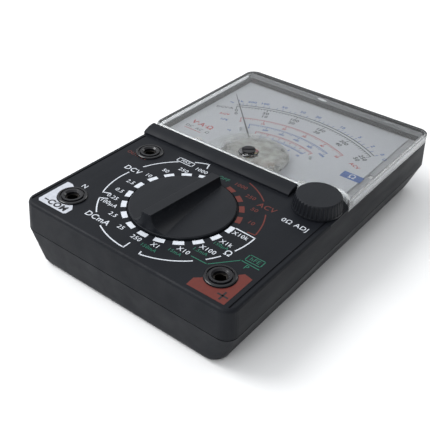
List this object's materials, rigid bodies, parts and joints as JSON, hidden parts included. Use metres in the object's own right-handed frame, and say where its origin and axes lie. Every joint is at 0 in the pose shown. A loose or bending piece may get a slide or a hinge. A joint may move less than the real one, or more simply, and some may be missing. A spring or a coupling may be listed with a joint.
{
  "type": "analog multimeter",
  "caption": "Hand-held analog multimeter: black two-part case, clear window over a printed scale with a needle, rotary range switch, adjusting knob and plug sockets.",
  "frame": {"origin": "centre of the flat back face", "axes": "+X to the right across the panel, +Y along the case from the sockets towards the scale window, +Z out of the dial"},
  "size_m": [0.1, 0.151, 0.036],
  "materials": {
    "case_plastic": "fine moulded texture, near black",
    "knob_plastic": "smooth moulded black",
    "trim_plastic": "glossy black",
    "clear_plastic": "clear moulded acrylic",
    "plate_print": "white enamel with printed scales",
    "steel": "zinc plated",
    "soft_iron": "plated soft iron",
    "magnet": "sintered",
    "brass": "plain brass",
    "copper_coil": "enamelled copper wire",
    "needle_metal": "black painted aluminium",
    "alloy": "bright",
    "jewel": "polished",
    "board": "phenolic laminate with copper tracks",
    "rotor_plastic": "natural acetal",
    "component_body": "lacquered",
    "glass_tube": "clear glass and plated caps",
    "cell_jacket": "printed jacket",
    "block_jacket": "printed jacket",
    "wire_cover": "soft vinyl"
  },
  "bodies": {
    "case": {"front_case": "case_plastic", "rear_case": "case_plastic", "case_screws": "steel", "window_cover": "clear_plastic", "scale_plate": "plate_print", "plate_screws": "steel", "movement_frame": "trim_plastic", "movement_screws": "steel", "return_ring": "soft_iron", "core_magnet": "magnet", "core_supports": "brass", "upper_bridge": "alloy", "lower_bridge": "alloy", "jewel_bearings": "jewel", "pointer_stops": "alloy", "circuit_board": "board", "board_screws": "steel", "potentiometer_body": "steel", "jack_collars": "trim_plastic", "jack_sleeves": "brass", "jack_nuts": "steel", "fuse": "glass_tube", "fuse_clips": "steel", "round_cells": "cell_jacket", "cell_contacts": "steel", "cell_springs": "steel", "block_battery": "block_jacket", "snap_connector": "trim_plastic", "battery_wires": "wire_cover", "movement_wires": "wire_cover", "resistors": "component_body", "diodes": "glass_tube", "capacitor": "block_jacket", "trimmer": "block_jacket"},
    "needle": {"moving_coil": "copper_coil", "coil_spindles": "steel", "pointer": "needle_metal", "balance_arms": "alloy", "upper_hairspring": "brass", "lower_hairspring": "brass"},
    "zero_lever": {"zero_lever": "brass"},
    "zero_screw": {"zero_adjust_screw": "trim_plastic"},
    "range_switch": {"range_knob": "knob_plastic", "switch_rotor": "rotor_plastic", "rotor_screw": "steel", "wiper_contacts": "brass", "detent_balls": "steel", "detent_springs": "steel"},
    "ohm_adjuster": {"potentiometer_shaft": "steel", "ohm_adjust_knob": "knob_plastic"}
  },
  "joints": [
    {"name": "needle_swing", "type": "hinge", "parent": "case", "child": "needle", "pos_m": [-0.0023, 0.011, 0.015], "axis": [0, 0, -1], "range_deg": [-3, 93], "stiffness_Nm_per_rad": 0.00002},
    {"name": "zero_screw_turn", "type": "hinge", "parent": "case", "child": "zero_screw", "pos_m": [-0.0023, 0.0065, 0.03], "axis": [0, 0, 1], "range_deg": [-30, 30]},
    {"name": "zero_lever_turn", "type": "hinge", "parent": "case", "child": "zero_lever", "pos_m": [-0.0023, 0.011, 0.0283], "axis": [0, 0, 1], "range_deg": [-5.6, 5.6]},
    {"name": "range_switch_turn", "type": "hinge", "parent": "case", "child": "range_switch", "pos_m": [0, -0.0393, 0.026], "axis": [0, 0, 1], "continuous": true},
    {"name": "ohm_adjust_turn", "type": "hinge", "parent": "case", "child": "ohm_adjuster", "pos_m": [0.0393, -0.006, 0.028], "axis": [0, 0, 1], "range_deg": [-140, 140]}
  ],
  "couplings": [
    {"joint": "zero_lever_turn", "follows": "zero_screw_turn", "ratio": 0.1818}
  ]
}
